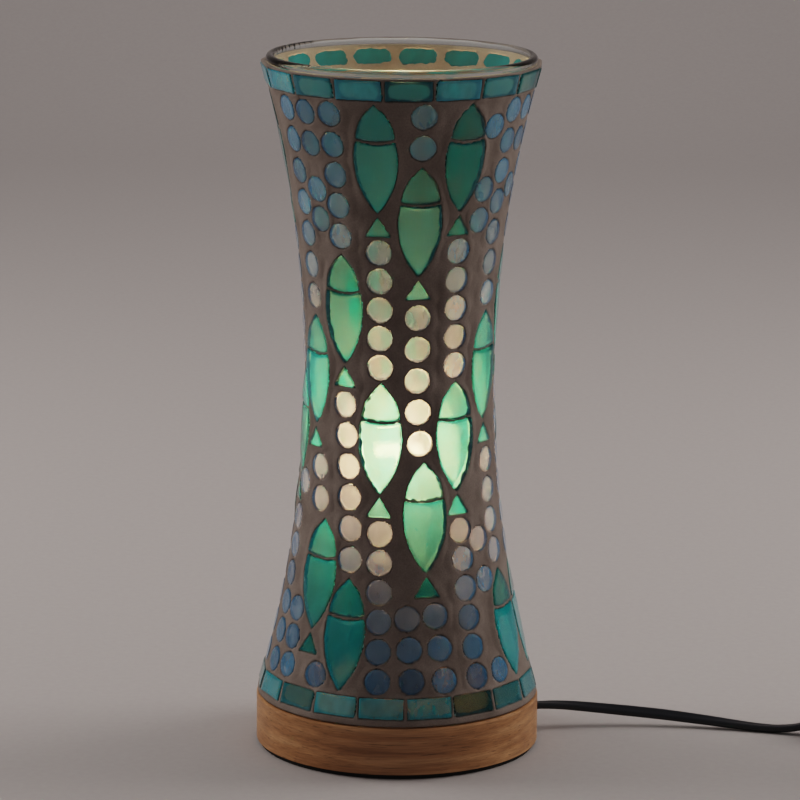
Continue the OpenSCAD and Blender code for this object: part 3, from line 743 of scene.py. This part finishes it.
def build_grout(columns=620, rows=430):
    """A shell of grout on the glass. It is smoothed up to each tile, laps under the tile's
    edge by an uneven margin and is left open behind the tile, where the light comes through."""
    low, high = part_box("shade_grout")
    outer, inner = turned_curve("shade_grout", True), turned_curve("shade_grout", False)
    z = np.linspace(low.z, high.z, rows)
    theta = np.linspace(0, 2 * math.pi, columns, endpoint=False)
    zz, tt = np.meshgrid(z, theta, indexing="ij")
    radius = np.minimum(outer(zz), high.x)
    place = np.stack([radius * np.cos(tt), radius * np.sin(tt), zz], -1)
    gap, meet, laps = about_tiles(place)

    fill = np.clip(1 - gap / GROUT_REACH, 0, 1)
    fill = fill * fill * (3 - 2 * fill) * 0.85
    rise = np.clip(meet, -SINK, SWELL) * fill
    rise += uneven(place, 210, 700, 0.5) * GROUT_WAVE
    under = gap < 0
    rise[under] = np.minimum(rise[under], meet[under] - 0.05 * MM)

    margin, wander, rounded = (laps[..., k] for k in range(3))
    margin = margin + wander * uneven(place, 420, 1100, 0.4, (9, 4, 1))
    window = np.where(rounded > 0, round_off(gap), gap) + margin * MM
    window = np.maximum(window, gap + 0.1 * MM)
    zz, tt, open_at = fit_openings(window, zz, tt, radius)

    back = np.minimum(inner(zz), high.x - LIP_ROOM) + OFF_GLASS
    face = np.minimum(radius + rise, high.x + 0.1 * MM)
    face = np.maximum(face, back + THINNEST)
    face = np.where(gap < -0.05 * MM, back + FLANGE, face)
    o = shell_object("grout", face, back, zz, tt, open_at, high.z - LIT_LIP_HEIGHT)
    o.data.materials.append(grout_material("grout", GROUT_TONES))
    o.data.materials.append(grout_material("grout_on_glass", ADHESIVE_TONES))
    # the inside near the rim, painted paler: painted light
    o.data.materials.append(grout_material("lit_lip", LIT_LIP_TONES))
    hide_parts("shade_grout")
    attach(o, "shade")


def grout_material(name, tones):
    """Sanded brown grout, a little lighter where it was wiped thin. Against the glass it is
    mixed with the pale adhesive."""
    n = Nodes(name)
    sand = n.noise(1700.0, 4.0, 0.65)
    tone = n.ramp(n.noise(70.0, 3.0), (0.3, tones[0]), (0.7, tones[1]))
    speck = n.ramp(sand, (0.35, 0.82), (0.65, 1.08))
    colour = n.mix(1.0, tone, speck, "MULTIPLY")
    shader = n.principled(
        Base_Color=colour, Roughness=0.82, Normal=n.bump(sand, 0.00012, 0.7)
    )
    return n.done(shader)


# ---- wood base ---------------------------------------------------------------------------

def wood_material():
    """Pale turned wood: long grain along X, with end grain at the two sides."""
    n = Nodes("turned_wood")
    place = n.place()
    rings = n.noise(30.0, 5.0, 0.6, place, (0.3, 1.1, 7.0))
    fibre = n.noise(210.0, 6.0, 0.7, place, (0.22, 0.8, 6.0))
    pores = n.noise(520.0, 2.0, 0.5, place, (0.12, 0.6, 3.0))
    tone = n.ramp(
        rings,
        (0.32, (0.24, 0.102, 0.040)), (0.5, (0.36, 0.170, 0.074)), (0.68, (0.47, 0.245, 0.115)),
    )
    streak = n.ramp(fibre, (0.35, 0.70), (0.65, 1.12))
    pit = n.ramp(pores, (0.28, 0.55), (0.40, 1.0))
    colour = n.mix(1.0, n.mix(1.0, tone, streak, "MULTIPLY"), pit, "MULTIPLY")
    rough = n.maths("MULTIPLY_ADD", fibre, 0.2, 0.36)
    shader = n.principled(
        Base_Color=colour, Roughness=rough, Normal=n.bump(fibre, 0.00012, 0.5),
        Coat_Weight=0.12, Coat_Roughness=0.3,
    )
    return n.done(shader)


# ---- bulb --------------------------------------------------------------------------------

NECK_R = 11.7 * MM
SHOULDER = math.radians(38)  # below the globe's middle, where it turns into the neck
GLOBE_GLOW = 4.0
FILAMENT_POWER = 1200.0


def build_bulb():
    """The globe's glass: one smooth skin from the cap round to the top. It is lightly frosted,
    and coated white round the neck, so that little light goes down."""
    low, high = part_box("bulb_envelope")
    r = high.x
    middle = high.z - r
    foot = low.z + 1.2 * MM
    profile = [(0, foot), (NECK_R * 0.96, foot), (NECK_R, foot + 0.8 * MM)]
    shoulder = Vector((r * math.cos(SHOULDER), middle - r * math.sin(SHOULDER)))
    neck = Vector((NECK_R, low.z + 9 * MM))
    neck_pull = neck + Vector((0, 8 * MM))
    shoulder_pull = shoulder - Vector((math.sin(SHOULDER), math.cos(SHOULDER))) * 7 * MM
    for b in np.linspace(0, 1, 10):
        a = 1 - b
        p = neck * a**3 + neck_pull * 3 * a * a * b
        p = p + shoulder_pull * 3 * a * b * b + shoulder * b**3
        profile.append((p.x, p.y))
    for a in np.radians(np.linspace(-34, 90, 24)):
        pole = a > math.pi / 2 - 1e-6
        profile.append((0 if pole else r * math.cos(a), middle + r * math.sin(a)))
    o = lathe("bulb_globe", profile, 48)
    n = Nodes("bulb_frost")
    height = n.add("ShaderNodeSeparateXYZ", {0: n.place()}).outputs["Z"]
    share = n.maths("DIVIDE", n.maths("SUBTRACT", height, middle - r), r)
    coat = n.maths("MULTIPLY_ADD", n.ramp(share, (0.0, 1.0), (1.0, 0.0)), 0.74, 0.22)
    lit = n.ramp(share, (0.3, (0.05, 0.03, 0.02)), (1.0, (1.0, 0.70, 0.42)))
    see = n.add("ShaderNodeBsdfTransparent", {"Color": (1, 0.97, 0.93, 1)}).outputs[0]
    haze = n.principled(
        Base_Color=(0.9, 0.88, 0.84), Roughness=0.2, Emission_Color=lit,
        Emission_Strength=GLOBE_GLOW,
    )
    o.data.materials.append(n.done(n.mix_shader(coat, see, haze)))
    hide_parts("bulb_envelope")
    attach(o, "bulb_glass")


def build_filament():
    """A coil of wire between its two supports."""
    low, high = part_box("bulb_filament")
    z, half = (low.z + high.z) / 2, high.x - 1.0 * MM
    turns, around, sides, coil_r, wire_r = 13, 10, 6, 2.4 * MM, 0.55 * MM
    line = [
        Vector((-half + 2 * half * t, coil_r * math.cos(a), z + coil_r * math.sin(a)))
        for t in np.linspace(0, 1, turns * around + 1)
        for a in [2 * math.pi * turns * t]
    ]
    points = []
    for i, p in enumerate(line):
        way = (line[min(i + 1, len(line) - 1)] - line[max(i - 1, 0)]).normalized()
        side = way.cross(Vector((1, 0, 0))).normalized()
        up = way.cross(side)
        points += [
            p + (side * math.cos(a) + up * math.sin(a)) * wire_r
            for a in np.linspace(0, 2 * math.pi, sides, endpoint=False)
        ]
    o = mesh_object("filament_coil", points, tube_faces(len(line), sides))
    n = Nodes("filament_glow")
    o.data.materials.append(n.done(n.principled(
        Base_Color=(0.4, 0.3, 0.2), Roughness=0.5, Emission_Color=(1.0, 0.77, 0.52),
        Emission_Strength=FILAMENT_POWER,
    )))
    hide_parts("bulb_filament")
    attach(o, "bulb_glass")


# ---- cord --------------------------------------------------------------------------------

# Middle of the cord in mm and how far its flat side is turned over in degrees, from the clamp
# under the base, down to the table, through the switch and on to the coil
LEAD = [
    (19.2, 5.5, 10, 0), (38.5, 11, 10, 0), (57.7, 16.5, 10, 0), (63.5, 18.1, 9.9, 4),
    (72, 20, 9.3, 14), (82, 21.4, 8.2, 25), (93, 22.2, 7, 33), (104, 22.4, 5.9, 37),
    (115, 21.9, 4.9, 37), (126, 20.6, 3.9, 32), (137, 18.6, 3.0, 22), (147, 16.4, 2.2, 12),
    (157, 13.9, 1.7, 5), (165, 11.8, 1.9, 0), (172, 10, 3, 0), (178, 8.6, 4.8, 0),
    (184, 8, 6, 0), (198, 8, 6, 0), (212, 8, 6, 0), (226, 8, 6, 0), (240, 8, 6, 0),
    (246, 7.2, 5, 0), (251.8, 4.8, 3.2, 0), (256.8, 0.8, 2, 0), (260.8, -5, 1.6, 0),
    (263.4, -12, 1.6, 0), (264.7, -20, 1.9, 0), (265.1, -28, 2, 0),
]
TAIL = [(241.3, -81.3, 5.2, 0), (236.4, -84.3, 5.5, 0), (231.2, -87.7, 5.8, 0), (226, -91, 6, 0)]
CORD_W, CORD_T = 5.2, 2.8
TURN_PITCH = 5.4
COIL_START, COIL_END = 17, 360 * 7 + 60  # in degrees round the coil
TURNS_IN = 3


def ease(t):
    """A smooth step from 0 to 1."""
    return t * t * (3 - 2 * t) if 0 < t < 1 else float(t >= 1)


def coil_points():
    """Two layers of turns, clockwise from the right: inwards by three turns on the table, up in
    the middle, and outwards again on top. Each turn keeps its radius for most of the way round
    and steps over to the next in its last part."""
    low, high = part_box("cord_coil")
    middle = (low + high) / 2 / MM
    outside = (high.x - low.x) / 2 / MM - CORD_W / 2 - 0.1
    z_low, z_high = low.z / MM + CORD_T / 2, high.z / MM - CORD_T / 2
    points = []
    for turned in range(COIL_START, COIL_END + 1, 10):
        loops, part = divmod(turned, 360)
        if loops <= TURNS_IN:
            step_in = min(TURNS_IN, loops + ease((part - 300) / 60))
            rise = ease((part - 240) / 60) if loops == TURNS_IN else 0
        else:
            step_out = loops - TURNS_IN - 1 + ease((part - 180) / 60)
            step_in, rise = TURNS_IN - min(TURNS_IN, step_out), 1
        r = outside - TURN_PITCH * step_in
        a = -math.radians(turned - 34)
        points.append((
            middle.x + r * math.cos(a), middle.y + r * math.sin(a),
            z_low + (z_high - z_low) * rise, 0,
        ))
    return points


def smooth_route(points, step=2.2):
    """A smooth line through the points, at an even step."""
    p = np.array(points, float)
    q = [p[0]]
    for i in range(len(p) - 1):
        a, b = p[i], p[i + 1]
        before = p[i - 1] if i else 2 * a - b
        after = p[i + 2] if i + 2 < len(p) else 2 * b - a
        count = max(1, round(np.linalg.norm((b - a)[:3]) / step))
        for t in np.arange(1, count + 1) / count:
            q.append(
                0.5 * (2 * a + (b - before) * t + (2 * before - 5 * a + 4 * b - after) * t**2
                       + (3 * a - before - 3 * b + after) * t**3)
            )
    return np.array(q)


def cord_section():
    """Two round cores side by side with a shallow valley between them."""
    core, half = CORD_T / 2, (CORD_W - CORD_T) / 2
    bend = np.radians(range(-112, 113, 28))
    right = [(half + core * math.cos(a), core * math.sin(a)) for a in bend]
    left = [(-x, -y) for x, y in right]
    return right + left


def build_cord():
    route = smooth_route(LEAD + coil_points() + TAIL)
    section = cord_section()
    ahead = np.gradient(route[:, :3], axis=0)
    points, count = [], len(section)
    for row, way in zip(route, ahead):
        way = Vector(way).normalized()
        side = Vector((0, 0, 1)).cross(way).normalized()
        up = way.cross(side)
        turn = math.radians(row[3])
        across = side * math.cos(turn) + up * math.sin(turn)
        over = way.cross(across)
        for x, y in section:
            points.append((Vector(row[:3]) + across * x + over * y) * MM)
    o = mesh_object("flat_cord", points, tube_faces(len(route), count))
    o.data.materials.append(plain("cord_jacket", (0.012, 0.012, 0.015), 0.38, grain=1200.0))
    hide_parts("cord_lead", "cord_run", "cord_coil", "cord_tail")
    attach(o, "base")
    path = [tuple(p * MM) for p in route[:, :3]]
    length = float(np.linalg.norm(np.diff(np.array(path), axis=0), axis=1).sum())
    print("cord length", round(length, 3))


build_cord()


# ---- the object --------------------------------------------------------------------------

for tile_node in TILE_NODES:
    build_tiles(tile_node)
build_grout()
build_bulb()
build_filament()

give(["shade_glass"], thick_glass("shade_glass", (0.93, 0.975, 0.965)))
give(["wood_base"], wood_material())
give(["base_pad"], plain("pad_foam", (0.012, 0.011, 0.010), 0.85, grain=1500.0, depth=0.0001))
give(
    ["lamp_nipple", "nipple_nut", "nipple_washer", "clamp_screws", "switch_pin", "switch_screws"],
    plain("steel", (0.52, 0.52, 0.50), 0.32, 1.0, 1400.0),
)
give(["socket_cap", "socket_shell"], plain("phenolic", (0.018, 0.017, 0.016), 0.28))
give(["socket_insulator"], plain("ceramic", (0.74, 0.70, 0.60), 0.45, vary=0.06))
give(
    ["screw_shell", "centre_contact", "terminal_screws", "switch_contacts"],
    plain("brass", (0.70, 0.48, 0.20), 0.3, 1.0),
)
give(["live_wire"], plain("live_insulation", (0.03, 0.03, 0.03), 0.45))
give(["neutral_wire"], plain("neutral_insulation", (0.7, 0.69, 0.62), 0.45, vary=0.06))
give(["bulb_cap", "bulb_contact"], plain("bulb_metal", (0.62, 0.62, 0.60), 0.28, 1.0))
give(["bulb_insulator"], plain("bulb_insulator", (0.02, 0.02, 0.02), 0.3))
give(["bulb_stem"], plain("stem_glass", (0.75, 0.78, 0.78), 0.15, vary=0.05))
give(["bulb_support_wires", "bulb_filament"], plain("filament", (0.5, 0.42, 0.3), 0.5, 1.0))
give(["cord_bushing", "cord_clamp"], plain("moulded_black", (0.02, 0.02, 0.021), 0.5))
give(["cord_tie"], plain("tie_strap", (0.03, 0.03, 0.034), 0.7, grain=2500.0, depth=0.0002))
give(
    ["switch_lower_shell", "switch_upper_shell", "switch_rocker"],
    plain("switch_plastic", (0.013, 0.013, 0.014), 0.34),
)
give(["plug_body"], plain("plug_plastic", (0.013, 0.013, 0.015), 0.48))
give(["plug_blades"], plain("blade_metal", (0.66, 0.64, 0.58), 0.25, 1.0))


# ---- floor and light ---------------------------------------------------------------------

def build_stage():
    """A pale floor that curves up into a backdrop."""
    depth, bend, height, width = 1.6, 0.9, 3.0, 4.0
    curve = [(-4.0, 0.0), (depth, 0.0)]
    curve += [
        (depth + bend * math.sin(a), bend - bend * math.cos(a))
        for a in np.radians(np.arange(6, 91, 6))
    ]
    curve.append((depth + bend, height))
    points = [(x, y, z) for y, z in curve for x in (-width, width)]
    faces = [(2 * i, 2 * i + 1, 2 * i + 3, 2 * i + 2) for i in range(len(curve) - 1)]
    floor = mesh_object("floor", points, faces)
    n = Nodes("floor")
    weave = n.noise(300.0, 3.0)
    tone = n.mix(weave, (0.36, 0.325, 0.315), (0.40, 0.365, 0.352))
    floor.data.materials.append(
        n.done(n.principled(Base_Color=tone, Roughness=0.9, Normal=n.bump(weave, 0.0002, 0.3)))
    )
    floor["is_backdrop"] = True


def softbox(name, at, aim, size, power, colour):
    """A studio light that the glass and the plastic don't mirror."""
    data = bpy.data.lights.new(name, "AREA")
    data.shape, data.size, data.size_y = "RECTANGLE", *size
    data.energy, data.color = power, colour
    o = link(name, data)
    o.location = at
    o.visible_transmission = o.visible_glossy = False
    o.rotation_mode = "QUATERNION"
    o.rotation_quaternion = (Vector(aim) - Vector(at)).to_track_quat("-Z", "Y")


def light_scene():
    middle = (0, 0, 0.15)
    softbox("left_box", (-1.2, 0.35, 0.6), middle, (0.7, 1.1), 12, (1.0, 0.96, 0.93))
    softbox("right_box", (1.2, 0.35, 0.6), middle, (0.7, 1.1), 12, (1.0, 0.96, 0.93))
    softbox("top_box", (0, 0.4, 1.8), (0, 0.1, 0), (1.8, 1.2), 7.5, (1.0, 0.96, 0.94))
    softbox("back_box", (0, 2.3, 1.9), (0, 3.1, 0), (2.6, 1.0), 13, (1.0, 0.96, 0.95))
    world = bpy.data.worlds.new("world")
    world.use_nodes = True
    world.node_tree.nodes["Background"].inputs["Color"].default_value = (0.9, 0.88, 0.9, 1)
    world.node_tree.nodes["Background"].inputs["Strength"].default_value = 0.17
    bpy.context.scene.world = world
    bpy.context.scene.view_settings.view_transform = "Filmic"
    bpy.context.scene.view_settings.look = "Medium High Contrast"


build_stage()
light_scene()


# ---- end ---------------------------------------------------------------------------------

plain_box = lambda b: [[float(x) for x in corner] for corner in b]
{"cad": plain_box(CAD_BOX), "visual": plain_box(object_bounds())}
